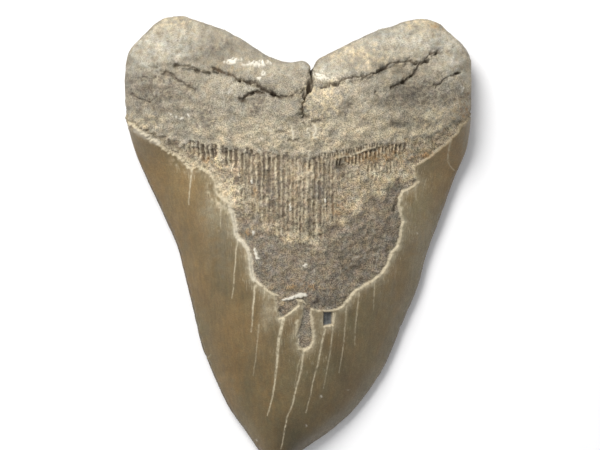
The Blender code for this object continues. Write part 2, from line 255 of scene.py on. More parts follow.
def nearest_rim(x, y):
    """Distance to the root's rim, and the rim's nearest place, worked out in batches."""
    a = root_rim[:-1]
    run = root_rim[1:] - a
    length2 = np.maximum((run ** 2).sum(axis=1), 1e-9)
    found = np.empty((3, len(x)))
    for start in range(0, len(x), 4000):
        part = slice(start, start + 4000)
        px, py = x[part, None], y[part, None]
        t = unit(((px - a[:, 0]) * run[:, 0] + (py - a[:, 1]) * run[:, 1]) / length2)
        near_x, near_y = a[:, 0] + t * run[:, 0], a[:, 1] + t * run[:, 1]
        distance = np.hypot(px - near_x, py - near_y)
        best = distance.argmin(axis=1)
        rows = np.arange(len(best))
        found[:, part] = distance[rows, best], near_x[rows, best], near_y[rows, best]
    return found


def crown_reach(x, y):
    """0 on the crown's middle line, 1 on its cutting edges."""
    left = np.interp(y, left_edge[:, 1], left_edge[:, 0])
    right = np.interp(y, right_edge[:, 1], right_edge[:, 0])
    half = np.maximum((right - left) / 2, 0.05)
    return unit(np.abs(x - (left + right) / 2) / half)


def rim_height(x, y):
    root = RIM_Z + (NOTCH_RIM_Z - RIM_Z) * bump(x, 4.6, 18) * ramp(40, 58, y)
    return np.where(y < SHOULDER_Y, edge_height(y), root)


def rounding(distance):
    """Quarter circle from 0 at the rim to 1 at RIM_ROUND and beyond."""
    beyond = unit(1 - distance / RIM_ROUND)
    return np.sqrt(1 - beyond ** 2)


def upper_z(x, y, distance):
    """Height of the upper, tongue-side face."""
    rim = rim_height(x, y)
    lens = (1 - crown_reach(x, y) ** LENS_POWER) ** 0.95
    crown = rim + (upper_middle(y) - rim) * lens
    full = upper_lobe(y) + (upper_middle(y) - upper_lobe(y)) * bump(x, 0, BULGE_WIDTH)
    full = full - 3 * bump(x, 4.6, 9) * ramp(46, 62, y)
    root = rim + (full - rim) * rounding(distance)
    return crown + (root - crown) * ramp(24, 44, y)


def lower_z(x, y, distance):
    """Height of the lower, lip-side face."""
    rim = rim_height(x, y)
    crown = lower_middle(y) + (rim - lower_middle(y)) * crown_reach(x, y) ** FLAT_POWER
    pad = bump(np.abs(x), LOBE_CENTRE[0], LOBE_PAD[0]) * bump(y, LOBE_CENTRE[1], LOBE_PAD[1])
    full = lower_middle(y) * (1 - pad) - REST_DEPTH * pad
    root = rim - (rim - full) * rounding(distance)
    return np.maximum(crown + (root - crown) * ramp(20, 48, y), 0)


# ---- layout: the plane that the canvas and the mesh are drawn in ----
# From above, the root's side walls are too narrow to draw on. In the layout a band inside
# the root's rim is wider: its places are pushed to the rim when they go to the picture.
def rolled(distance):
    """Distance from the rim in the picture, from the distance in the layout."""
    u = unit(distance / ROLL)
    return np.where(distance < ROLL, ROLL * (2 * u ** 2 - u ** 3), distance)


def to_picture(x, y):
    """Layout places moved to the picture, and their distance from the rim there."""
    distance, near_x, near_y = nearest_rim(x, y)
    moved = distance + (rolled(distance) - distance) * ramp(20, 40, y)
    scale = moved / np.maximum(distance, 1e-6)
    return near_x + (x - near_x) * scale, near_y + (y - near_y) * scale, moved


def to_layout(points):
    """Picture places moved to the layout: steps until to_picture brings them back."""
    goal = np.array(points, dtype=float)
    at = goal.copy()
    for _ in range(40):
        x, y, _ = to_picture(at[:, 0], at[:, 1])
        at += goal - np.column_stack([x, y])
    return at


# ---- canvas ----
grid_x, grid_y = np.meshgrid(np.arange(*CANVAS_X, CELL, dtype=np.float32),
                             np.arange(*CANVAS_Y, CELL, dtype=np.float32))
SHAPE = grid_x.shape


def cloud(seed, longest, shortest, stretch=1.0, slope=1.0):
    """Noise of mean 0 and deviation 1 with wavelengths between the two, in mm.

    stretch above 1 draws it out along Y. slope is how fast short waves weaken."""
    random = np.random.default_rng(SEED * 1000 + seed)
    spectrum = np.fft.rfft2(random.standard_normal(SHAPE))
    fx = np.fft.rfftfreq(SHAPE[1], CELL)[None, :]
    fy = np.fft.fftfreq(SHAPE[0], CELL)[:, None] * stretch
    f = np.hypot(fx, fy) + 1e-9
    keep = f ** -slope / (1 + (1 / (longest * f)) ** 6) / (1 + (shortest * f) ** 6)
    keep[0, 0] = 0
    out = np.fft.irfft2(spectrum * keep, s=SHAPE)
    return (out / out.std()).astype(np.float32)


def blank(value=0):
    return np.full(SHAPE, value, dtype=np.float32)


def window(xs, ys, margin):
    """Slices of the canvas that hold the places and a margin round them."""
    cells = []
    for places, start, count in ((ys, CANVAS_Y[0], SHAPE[0]), (xs, CANVAS_X[0], SHAPE[1])):
        first = int(np.clip((min(places) - margin - start) / CELL, 0, count - 1))
        last = int(np.clip((max(places) + margin - start) / CELL + 2, 1, count))
        cells.append(slice(first, last))
    return tuple(cells)


def line_distance(points, reach, wander=0):
    """Distance to a line, up to the reach, and how far along it, from 0 to 1.

    wander makes the line waver, by about that many mm."""
    points = np.asarray(points, dtype=float)
    lengths = np.hypot(*np.diff(points, axis=0).T)
    starts = np.concatenate([[0], np.cumsum(lengths)])
    nearest, along = blank(reach), blank()
    for a, b, length, start in zip(points[:-1], points[1:], lengths, starts):
        part = window((a[0], b[0]), (a[1], b[1]), reach + 2 * wander)
        dx = grid_x[part] + wander * waver_x[part] - a[0]
        dy = grid_y[part] + wander * waver_y[part] - a[1]
        ux, uy = (b - a) / max(length, 1e-9)
        t = np.clip(dx * ux + dy * uy, 0, length)
        d = np.hypot(dx - t * ux, dy - t * uy)
        nearer = d < nearest[part]
        nearest[part] = np.where(nearer, d, nearest[part])
        along[part] = np.where(nearer, (start + t) / starts[-1], along[part])
    return nearest, along


def inside(points):
    """True in the cells inside a closed outline."""
    points = np.asarray(points, dtype=float)
    flips = np.zeros(SHAPE, dtype=bool)
    rows = grid_y[:, 0]
    for a, b in zip(points, np.roll(points, -1, axis=0)):
        if a[1] == b[1]:
            continue
        low, high = (a, b) if a[1] < b[1] else (b, a)
        first, last = np.searchsorted(rows, [low[1], high[1]])
        for row in range(first, last):
            t = (rows[row] - low[1]) / (high[1] - low[1])
            cross = low[0] + t * (high[0] - low[0])
            column = int(np.clip((cross - CANVAS_X[0]) / CELL + 1, 0, SHAPE[1]))
            flips[row, column:] ^= True
    return flips


def signed_distance(points, reach):
    """Distance to a closed outline, positive inside it, up to the reach."""
    points = np.vstack([points, points[:1]])
    distance, _ = line_distance(points, reach)
    return np.where(inside(points), distance, -distance)


def paint(field, points, width, end_width=None, strength=1, soft=0.15, wander=0,
          ragged=0, fade=0):
    """Draws a line of that width, in mm, where it is stronger than what is there.

    wander makes it waver and ragged makes its width vary, both by about that many mm.
    fade is the share of its strength that it loses on its way."""
    end_width = width if end_width is None else end_width
    reach = max(width, end_width) / 2 + soft + 0.1 + 2 * ragged
    distance, along = line_distance(points, reach, wander)
    distance = distance + ragged * (0.6 * pebbles + 0.5 * patches)
    half = (width + (end_width - width) * along) / 2
    drawn = strength * (1 - fade * along) * ramp(half + soft, half - soft, distance)
    np.maximum(field, drawn, out=field)


def dab(field, x, y, radius_x, radius_y, strength=1):
    """Adds a soft oval spot."""
    part = window((x,), (y,), 3 * max(radius_x, radius_y))
    dx, dy = (grid_x[part] - x) / radius_x, (grid_y[part] - y) / radius_y
    field[part] += strength * np.exp(-dx ** 2 - dy ** 2)


def spots(rows):
    """A canvas of soft ovals: x, y, radius x, radius y, strength."""
    field = blank()
    for row in rows:
        dab(field, *row)
    return field


def look_up(field, x, y):
    """The field between cells, at the given places."""
    fx = np.clip((x - CANVAS_X[0]) / CELL, 0, SHAPE[1] - 1.001)
    fy = np.clip((y - CANVAS_Y[0]) / CELL, 0, SHAPE[0] - 1.001)
    j, i = fx.astype(int), fy.astype(int)
    u, v = fx - j, fy - i
    return ((1 - v) * ((1 - u) * field[i, j] + u * field[i, j + 1])
            + v * ((1 - u) * field[i + 1, j] + u * field[i + 1, j + 1]))


# ---- noise that several things share ----
waver_x, waver_y = cloud(1, 6, 1.2), cloud(2, 6, 1.2)
broad = cloud(3, 26, 6)
lumps = cloud(4, 12, 3)
patches = cloud(5, 6, 1.5)
pebbles = cloud(6, 2.6, 0.9)
grain = cloud(7, 1.1, 0.45, slope=0.5)
fibres = cloud(8, 1.6, 0.5, stretch=5.0)
streaks = cloud(9, 5.0, 0.7, stretch=14.0)


# ---- outline ----
EDGE_SPACING = 0.22             # between vertices along the cutting edges, mm
ROOT_SPACING = 0.36
SERRATION_PITCH = 0.85
SERRATION_DEPTH = 0.16
NICKS = [(-31.3, -38.8), (-14.2, -67.9), (35.5, -29)]


def tooth_outline():
    """Places round the tooth, closely spaced along the serrated cutting edges."""
    left, right = evenly(left_edge, EDGE_SPACING), evenly(right_edge[::-1], EDGE_SPACING)
    root = evenly(np.vstack([left_edge[-1:], root_top, right_edge[-1:]]), ROOT_SPACING)
    loop = np.vstack([left[:-1], root[:-1], right[:-1]])
    ahead, behind = np.roll(loop, -1, axis=0), np.roll(loop, 1, axis=0)
    run = ahead - behind
    inward = np.column_stack([run[:, 1], -run[:, 0]]) / np.hypot(*run.T)[:, None]
    along = np.cumsum(np.hypot(*(loop - behind).T))
    x, y = loop.T
    worn = np.clip(0.6 + 0.4 * look_up(lumps, x, y), 0.15, 1)
    teeth = 0.5 + 0.5 * np.cos(2 * np.pi * along / SERRATION_PITCH)
    cut = SERRATION_DEPTH * worn * teeth * ramp(38, 30, y) * ramp(-77, -75, y)
    cut = cut + 0.03 * np.clip(look_up(pebbles, x, y) + 1, 0, 3) * ramp(36, 44, y)
    for nick_x, nick_y in NICKS:
        cut = cut + 0.35 * bump(np.hypot(x - nick_x, y - nick_y), 0, 0.5)
    return loop + inward * cut[:, None]


outline = tooth_outline()
depth_in = signed_distance(outline, REACH)


# ---- where enamel, dentine and root are ----
ABOVE_Y = 85                    # past the canvas
border_line = to_layout(BORDER)
border_ground = np.vstack([[(-70, ABOVE_Y)], border_line, [(70, ABOVE_Y)]])
bare_depth = signed_distance(border_ground, REACH)
fine = blank()                  # where the mesh needs its smallest triangles
paint(fine, border_line, 1.5, soft=0.05)
for chip in (CHIP_TRIANGLE, CHIP_DROP, CHIP_SLOT):
    bare_depth = np.maximum(bare_depth, signed_distance(chip, REACH))
    paint(fine, chip + chip[:1], 1.3, soft=0.05)
crumbly = ramp(6, 16, grid_y) * ramp(30, -20, grid_x)
clean_left = ramp(-8, -12, grid_x) * ramp(16, 10, grid_y) * ramp(-16, -12, grid_y)
feathered = ramp(12, 16, grid_x) * ramp(4, -2, grid_y)
bare_depth = bare_depth + 0.28 + 0.18 * clean_left + 0.2 * feathered
bare_depth = bare_depth + (0.04 + 0.08 * crumbly) * (patches + pebbles) + 0.03 * grain
bare = ramp(-0.1, 0.3, bare_depth)
above_foot = grid_y - foot_y(grid_x)
above_chevron = grid_y - chevron_y(grid_x)
rooty = ramp(-0.6, 0.6, above_foot + 0.35 * pebbles + 0.4 * patches)
dentine = bare * (1 - rooty)


# ---- slots and ridges of the dentine ----
slots, ridges = blank(), blank()


def comb(seed, left, right, pitch, top, length, width, depth=1, gaps=0, lean=0):
    """A row of slots from left to right, with ridges between them.

    top and length are functions of x, in mm. gaps is the share of slots left out."""
    random = np.random.default_rng(SEED * 100 + seed)
    x = left
    while x < right:
        step = pitch * random.uniform(0.7, 1.3)
        size = length(x) * random.uniform(0.65, 1.15)
        start = top(x) + random.normal(0, 0.2)
        wide = random.uniform(*width)
        bow = random.normal(0, 0.12)
        strength = depth * random.uniform(0.7, 1)
        if random.random() > gaps:
            points = [(x, start), (x + bow + lean * size / 2, start - size / 2),
                      (x + lean * size, start - size)]
            paint(slots, points, wide, wide * random.uniform(0.5, 0.9), strength, 0.16, 0.05)
        between = x + step / 2
        points = [(between, start - 0.2), (between + lean * size, start - 0.9 * size)]
        paint(ridges, points, 0.4, 0.2, random.uniform(0.4, 1), 0.16, 0.06)
        x += step


def long_slots(seed, left, right, pitch):
    """Slots and ridges from the foot line down to the chevron, broken into lengths."""
    random = np.random.default_rng(SEED * 100 + seed)
    x = left
    while x < right:
        step = pitch * random.uniform(0.6, 1.4)
        end_y = float(chevron_y(x)) + random.normal(0.5, 1.6)
        for field, at, width, strength in ((slots, x, (0.5, 1.2), (0.25, 0.72)),
                                           (ridges, x + step / 2, (0.3, 0.75), (0.5, 1))):
            y = float(foot_y(x)) - random.uniform(0.3, 2)
            while y > end_y:
                low = max(y - random.uniform(2, 8.5), end_y - 0.5)
                fade = 0.45 + 0.55 * float(ramp(end_y - 1, end_y + 9, y))
                wide = random.uniform(*width)
                points = [(at, y), (at + random.normal(0, 0.14), (y + low) / 2), (at, low)]
                paint(field, points, wide, wide * random.uniform(0.3, 0.8),
                      fade * random.uniform(*strength), 0.16, 0.1, ragged=0.1)
                y = low - random.exponential(0.9)
                at += random.normal(0, 0.12)
        x += step


# The clearest slots: x, top, bottom, width in mm, strength.
CLEAR_SLOTS = [
    (-41.6, 33, 31.4, 0.5, 0.4), (-39, 33.4, 31.6, 0.5, 0.5), (-37.1, 34, 30.1, 0.8, 0.8),
    (-35.8, 34.3, 29.8, 0.6, 0.6), (-34.3, 33.8, 31.4, 0.85, 0.9), (-34.2, 31, 29.3, 0.7, 0.5),
    (-32.7, 32.8, 27.9, 1.3, 0.9), (-31, 32.9, 28.2, 0.7, 0.7), (-29.4, 33.1, 28.9, 1, 1),
    (-28.4, 33, 29.4, 0.9, 1), (-25.9, 32.3, 30.5, 1.1, 0.8), (-24.8, 31.7, 26.5, 1, 0.9),
    (-23.2, 30.9, 27.2, 1, 0.9), (-21.5, 31.2, 26, 1.2, 0.9), (-20.8, 32, 30.6, 0.6, 0.7),
    (-19.2, 29.8, 25.2, 0.9, 0.9), (-17.5, 27.5, 22.6, 1.2, 0.75), (-17.4, 31.9, 30.5, 1, 0.8),
    (-16, 31.5, 30.1, 0.6, 0.7), (-15.1, 22.4, 20.4, 1.3, 0.6), (-13.4, 26.3, 20.4, 0.9, 0.6),
    (-12.9, 26.7, 23.5, 0.6, 0.7), (-11.8, 28.9, 21.1, 0.6, 0.9), (-9.9, 28.7, 24.5, 0.7, 0.8),
    (-9.4, 24.3, 19.2, 1.2, 0.55), (-6.7, 29, 20.6, 1.1, 0.75), (-4.8, 23.5, 21, 1.3, 0.65),
    (-2.9, 24.2, 19.8, 0.7, 0.7), (6.4, 26.9, 21.1, 1, 0.7), (7.6, 28.6, 23.3, 0.7, 0.7),
    (-13.2, 23.5, 18.2, 1.4, 0.65), (-10.4, 24, 17.4, 1.7, 0.7), (5.5, 21, 14.4, 1.2, 0.7),
    (7.5, 20.6, 14.8, 1.2, 0.7), (-18.9, 24.5, 20.5, 0.9, 0.55), (-6.6, 19.5, 14.5, 1, 0.5),
    (9.3, 26.5, 18, 0.9, 0.7), (0.3, 18.5, 12.5, 0.8, 0.6), (-5.2, 15, 8.6, 0.9, 0.6),
    (4.2, 11.6, 5.8, 1.4, 0.45),
]
# The brightest ridges, in the same form.
BRIGHT_RIDGES = [
    (-33.5, 33, 28.6, 0.45, 0.8), (-31.8, 33, 28.4, 0.4, 0.9), (-30.4, 32.9, 28.8, 0.4, 0.7),
    (-27.2, 32.4, 28.6, 0.7, 0.8), (-24, 31.4, 26.8, 0.35, 0.8), (-22.4, 31.2, 26.4, 0.4, 0.8),
    (-20, 30.6, 25.6, 0.5, 0.7), (-18.6, 30.6, 24, 0.6, 0.9), (-16, 28.6, 20.6, 0.5, 0.8),
    (-10.9, 26.3, 23.5, 0.7, 1), (-7.8, 28, 19.7, 0.9, 1), (-3.7, 26.8, 23, 1.2, 0.7),
    (0, 27.4, 19, 0.4, 0.9), (3.4, 23.5, 18.3, 1.7, 0.7), (3.7, 31.8, 26, 0.35, 0.8),
    (8.6, 24.5, 18, 0.5, 0.9), (5.2, 26, 15, 0.4, 0.8), (10.4, 27.6, 18, 0.5, 0.7),
]
comb(1, -46, -42.5, 1.5, lambda x: foot_y(x) - 0.2, lambda x: 2.2, (0.3, 0.5), 0.5, 0.2)
long_slots(3, -19.5, 13.5, 1.5)
slots *= 0.85
comb(4, 7.5, 28, 0.85, lambda x: foot_y(x) + 0.5, lambda x: 1.2, (0.35, 0.55), 0.8, 0.1, 0.1)
comb(5, 13.6, 37.5, 1.3, lambda x: 28 + (x - 13) * 0.25, lambda x: 2.4 + 0.4 * np.sin(x),
     (0.55, 0.85), 0.9, 0.05, lean=-0.06)
comb(6, 16, 34, 1.5, lambda x: 25 + (x - 17) * 0.2, lambda x: 4, (0.3, 0.6), 0.35, 0.35)
for field, rows, narrowing, softness in ((slots, CLEAR_SLOTS, 0.7, (0.16, 0.07, 0.05)),
                                         (ridges, BRIGHT_RIDGES, 0.5, (0.2, 0.08, 0.07))):
    for x, top, bottom, width, strength in rows:
        paint(field, [(x, top), (x, bottom)], width, narrowing * width, strength, *softness)
LEDGE = [(14, 28.9), (18, 29.4), (22, 31), (25, 32.2), (28, 32.9)]
paint(ridges, LEDGE, 0.55, 0.7, 1, 0.25, 0.1)
slot_zone = dentine * ramp(-3, 4, above_chevron) * ramp(-44, -34, grid_x)
slots *= np.clip(0.9 + 0.12 * pebbles, 0.5, 1)
ridges *= np.clip(0.8 + 0.25 * pebbles, 0.2, 1) * (1 - 0.7 * slots)
ridges *= bare * ramp(2.5, 1, above_foot)
# A small pucker of the root below the cleft.
PUCKER = [
    [(-1.6, 39.2), (-1.9, 37.5), (-1.6, 35.6)], [(3.4, 38.6), (3.6, 35.2)], [(5.6, 40), (6.1, 35.4)],
]
for points in PUCKER:
    paint(ridges, points, 1, 0.8, 0.9, 0.3, 0.2, 0.15)


# ---- cracks ----
cracks, valleys = blank(), blank()
for points, width, depth in ROOT_CRACKS:
    mask = blank()
    points = to_layout(points)
    paint(mask, points, 1.15 * width, 0.7 * width, 1, 0.3, 0.16, ragged=0.17)
    np.maximum(cracks, mask * min(1, 0.45 + 0.5 * depth), out=cracks)
    paint(valleys, points, 1.2, 1.2, depth, soft=1.3, wander=0.16, ragged=0.3)
    paint(fine, points, width + 1.2, soft=0.05, wander=0.3)
PUCKER_GROOVES = [
    [(-3.2, 34.6), (0.3, 34.9)], [(1.8, 40.6), (2.8, 38.8)], [(2.6, 42.9), (4.3, 42.4)],
    [(-7.4, 37.4), (-5.5, 37.5), (-3, 38.6)], [(5.2, 41.2), (8.9, 41.4)],
]
for points in PUCKER_GROOVES:
    paint(cracks, points, 0.9, 0.6, 0.75, 0.3, 0.2, 0.15)
cracks *= np.clip(0.88 + 0.2 * pebbles + 0.12 * patches, 0.35, 1)
HOLES = [  # x, y, width, height, depth
    (-8.4, 50.6, 2, 1.6, 1), (3.9, 53.6, 2.6, 2.4, 1), (2.3, 50.4, 1.2, 2.4, 0.8),
    (36.1, 54.8, 1.6, 1.2, 0.8), (38.8, 56.9, 1.3, 1, 0.7), (44, 61.9, 1.6, 1, 0.8),
    (-19.8, 55.3, 1.4, 1, 0.9), (55.1, 57.8, 1.6, 0.8, 0.8), (-15.6, 50.9, 2, 1, 0.7),
    (26.4, 51.4, 0.7, 0.7, 0.6), (27, 50.2, 0.6, 0.7, 0.6), (9.2, 50, 0.5, 0.5, 0.5),
    (13.3, 50.7, 0.5, 0.5, 0.5), (-34.2, 62.4, 0.6, 0.8, 0.5), (-32, 60.7, 0.6, 0.6, 0.5),
    (-37.2, 49.1, 0.7, 0.7, 0.4), (15.2, 25.6, 3.8, 2.2, 0.45), (33.6, 11.4, 0.9, 2.8, 0.5),
    (35.2, 21, 0.8, 2.4, 0.3),
]
holes = blank()
for x, y, width, height, depth in HOLES:
    x, y = to_layout([(x, y)])[0]
    reach = np.hypot((grid_x - x) / width, (grid_y - y) / height) * 2
    np.maximum(holes, depth * ramp(1.25, 0.6, reach + 0.12 * pebbles + 0.1 * patches), out=holes)
slot_floor = ramp(0, 0.3, signed_distance(CHIP_SLOT, 2))
cleft = blank()
cleft_line = to_layout(CLEFT)
paint(cleft, cleft_line, 0.5, 0.2, soft=0.7, wander=0.25)
paint(valleys, cleft_line, 2, 1.5, 1.3, soft=2, wander=0.3)
paint(fine, cleft_line, 3.6, soft=0.05)

veins, glow = blank(), blank()
for points, width, end_width, strength in ENAMEL_CRACKS:
    paint(veins, points, 0.9 * width, 0.85 * end_width, strength, 0.15, 0.04, 0.09, 0.25)
    paint(glow, points, width + 0.3, end_width, strength, 0.45, 0.04, 0, 1)
    paint(fine, points, width + 0.8, end_width + 0.8, soft=0.05)
veins *= np.clip(0.8 + 0.22 * patches + 0.18 * pebbles, 0.2, 1)


# ---- relief: how far the surface stands out, in mm, negative into the tooth ----
BOSSES = [  # x, y, radius x, radius y, height
    (-44, 66, 12, 6, 0.6), (1.2, 58, 2.4, 3.6, 1.3), (-4.5, 46, 5.5, 3.6, 1), (11, 48.5, 6, 4.5, 0.7),
    (28.5, 59.8, 4, 1.6, -1), (37.2, 56.2, 2.4, 1.6, -0.9), (16.7, 46, 2, 2.2, -0.4),
    (-31.6, 42, 4, 3, -0.5), (-24, 52.5, 7, 3.5, 0.5), (-47, 53, 6, 4, 0.5), (24, 51, 8, 4, 0.5),
    (48.5, 58.5, 4, 3, 0.5), (22, 19, 4, 3, 0.5), (31, 21, 3, 2.6, 0.4), (15, 25.3, 2.6, 1.2, -0.5),
    (-23, 14.5, 2.2, 2.4, 0.5), (33.6, 12, 1.2, 2, -0.5), (8, 17, 2.2, 2.6, -0.3),
]
above_fold = grid_y - fold_y(grid_x) + 0.25 * patches
lip = ramp(-0.3, 0.3, above_fold) * np.exp(-np.clip(above_fold, 0, 40) / 6)
lip *= ramp(52, 44, np.abs(grid_x))
pits = ramp(1.7, 2.6, cloud(10, 3.0, 0.8, slope=0.3)) * ramp(2.0, 5.0, depth_in)
near_rim = ramp(5, 0.5, depth_in) * ramp(30, 42, grid_y)
foot_rise = 0.25 + (ENAMEL_STEP - 0.4) * ramp(0, 7, above_foot)
relief = -ENAMEL_STEP * bare + foot_rise * rooty * bare
relief += (1 - bare) * (0.03 * lumps + 0.010 * streaks)
relief += dentine * (0.14 * lumps + 0.11 * patches + 0.06 * pebbles + 0.035 * grain)
stony = 0.16 * lumps + 0.06 * patches + 0.04 * pebbles + 0.035 * grain
relief += rooty * bare * stony * (1 - 0.6 * near_rim)
relief += spots(BOSSES) - 0.3 * pits * bare
relief += lip * rooty * bare
relief += 0.22 * ridges - 0.7 * slots + 0.05 * slot_zone * fibres
relief -= 0.55 * valleys + 0.7 * cracks + 1.2 * holes + 2.2 * cleft + 0.5 * slot_floor
relief -= 0.12 * veins * (1 - bare)
relief += 0.2 * near_rim - 0.2


# ---- stains, painted light and painted shade ----
def stain(rows, roughness=0.35, noise=patches + pebbles):
    """A canvas of soft ovals with broken edges."""
    field = spots(rows)
    return unit(field + roughness * noise * unit(field * 3))


tan_band = ramp(0, 2.5, above_foot) * ramp(17, 8, above_foot + 1.5 * lumps)
tan_band *= ramp(-44, -20, grid_x + 6 * broad) * ramp(54, 32, grid_x + 6 * broad)
tan_band *= 0.7 + 0.2 * lumps
chevron_band = dentine * bump(above_chevron + 1.2 * lumps + 0.6 * patches, 1, 2.6)
wedge_right = dentine * ramp(-2, 2, above_chevron + lumps) * ramp(12, 20, grid_x)
TAN_SPOTS = [
    (-43.5, 74.5, 7, 3, 0.5), (43.5, 74, 6, 3, 0.9), (8, 48, 8, 5, 0.8), (48, 43, 6, 5, 0.5),
    (22, 63, 12, 4, 0.4), (1, 2, 7, 2.5, 0.6), (30, 22, 4, 3, 0.7), (-24, 17, 5, 5, 0.7),
    (-52, 41, 6, 2.5, 0.6), (-30, 28, 10, 3, 0.6),
]
tan = unit(0.8 * tan_band + 0.38 * chevron_band + 0.35 * wedge_right + stain(TAN_SPOTS))

PALE_SPOTS = [
    (-43, 67, 11, 6, 0.7), (-52, 60, 5, 6, 0.5), (32, 69, 14, 5, 0.8), (52, 60, 4, 8, 0.5),
    (10, 57.5, 10, 2.5, 0.6), (-20, 51, 8, 3, 0.4), (14, 51, 8, 2, 0.3), (-6, 37, 14, 3, 0.4),
    (20, 38, 12, 3, 0.4), (48, 67, 4, 3, 0.5),
]
pale = stain(PALE_SPOTS, 0.15) * rooty

SLATE_SPOTS = [
    (-47, 52, 10, 6, 0.7), (-31.6, 42, 4, 4, 0.7), (-14, 46.5, 3.5, 4, 0.6), (42, 51, 14, 5, 0.6),
    (16.7, 46, 2, 3, 0.8), (-28, 66, 8, 3, 0.3), (-10.5, -5.5, 3.5, 5, 0.8), (31, -0.5, 4, 5, 0.5),
    (15.2, 25, 2.8, 1.6, 0.9), (8, 17, 2.5, 2.8, 0.7), (33.5, 17, 2, 3, 0.35), (8, -18, 7, 3, 0.8),
    (-11.5, 20.5, 3.5, 4, 0.7), (2.5, -30, 4, 8, 0.1), (6.4, 17.6, 2.4, 3.4, 0.6), (-4, 22, 9, 6, 0.15),
    (-9.5, 15.5, 4, 3.5, 0.35),
]
slate_and_shade = stain(SLATE_SPOTS)
# Painted shadow: a bluish-grey band just below the foot line, where the root's lower edge shades the
# dentine.
slate_and_shade += 0.45 * bump(above_foot, -0.8, 1.1) * ramp(-24, -18, grid_x) * ramp(14, 8, grid_x)
slate_and_shade = unit(slate_and_shade + 0.5 * dentine * ramp(2, -4, above_chevron + lumps)) * bare

RUST_SPOTS = [
    (-31, 27.5, 2.5, 1.6, 0.6), (44.5, 29.8, 2.6, 1.5, 0.8), (13.5, 11.5, 3, 2.5, 0.5),
    (-24, 59.5, 6, 3.5, 0.2), (-17, 3, 2.5, 2.5, 0.4), (26, 29.5, 11, 2.4, 0.8),
    (-14.8, 17.5, 0.8, 1.6, 0.9), (-16, -26, 1.6, 5, 0.4), (47, 73, 3, 2, 0.4), (2, -15, 9, 2.5, 0.35),
    (-5, -22, 2.5, 2.5, 0.25), (56, 45, 4, 5, 0.35),
]
rust = stain(RUST_SPOTS, 0.25) * (0.4 + 0.6 * bare)

CHALK_SPOTS = [
    (-22.4, 61.5, 2.2, 0.8, 1.1), (-14, 59.9, 4.6, 0.9, 0.9), (-11.8, 57, 0.8, 0.7, 0.9),
    (-13.3, 55.6, 0.9, 0.6, 0.7), (-43.6, 43.8, 0.45, 0.4, 0.9), (-41.6, 42.9, 0.5, 0.35, 0.9),
    (-39.8, 42.3, 0.65, 0.4, 1), (-37.4, 43.2, 0.45, 0.5, 1), (8.4, 55.6, 2.4, 1.1, 0.85),
    (19.4, 15.1, 0.8, 0.5, 0.9), (-16, 20.7, 0.4, 0.8, 1), (-15.5, 3.4, 0.5, 0.8, 1),
    (-2.7, 11.9, 0.4, 1.2, 1), (2.4, -7.8, 0.8, 0.5, 0.9), (9.5, 14.3, 0.5, 0.6, 1),
    (54.8, 52.5, 0.6, 1.5, 0.6),
]
chalk = ramp(0.38, 0.62, stain(CHALK_SPOTS, 0.22, grain + pebbles))
paint(chalk, [(-15.2, -2.2), (-14.3, -5.2)], 0.6, 1, wander=0.15)
paint(chalk, [(-5.2, -19.4), (-2, -18.9), (0.6, -18)], 0.5, 1.4, wander=0.15)
paint(chalk, [(0.6, -18.2), (2.6, -17.8)], 1.6, 1.1, wander=0.2)
SCRATCHES = [
    [(24.2, -2.1), (22.7, -5.1), (21.6, -6.3)], [(28.8, 0.6), (26.9, -8.2)],
    [(21.6, -4.7), (19.3, -5.5), (17.7, -8.2), (14.3, -10.1)],
]
for points in SCRATCHES:
    paint(chalk, points, 0.3, 0.3, 0.35, 0.2, 0.2, 0.1)
for points in PUCKER:
    paint(chalk, points, 0.6, 0.5, 0.5, 0.25, 0.2, 0.15)
SPECKS = [(7.9, -52.1, 0.5), (2.9, -62.1, 0.3), (-14.3, -67.4, 0.3), (40.6, 3.4, 0.3)]
for x, y, size in SPECKS:
    speck = [(x, y), (x + 0.2, y - 0.3)]
    paint(chalk, speck, size, size, 0.5, 0.25)
    paint(fine, speck, size + 0.5, soft=0.05)
paint(chalk, [(-54.1, 38.6), (-51, 36.2), (-47.6, 33.7)], 1.5, 1.1, 0.3, 0.3, 0.1)
relief += 0.35 * ramp(0.3, 0.9, chalk) * bare
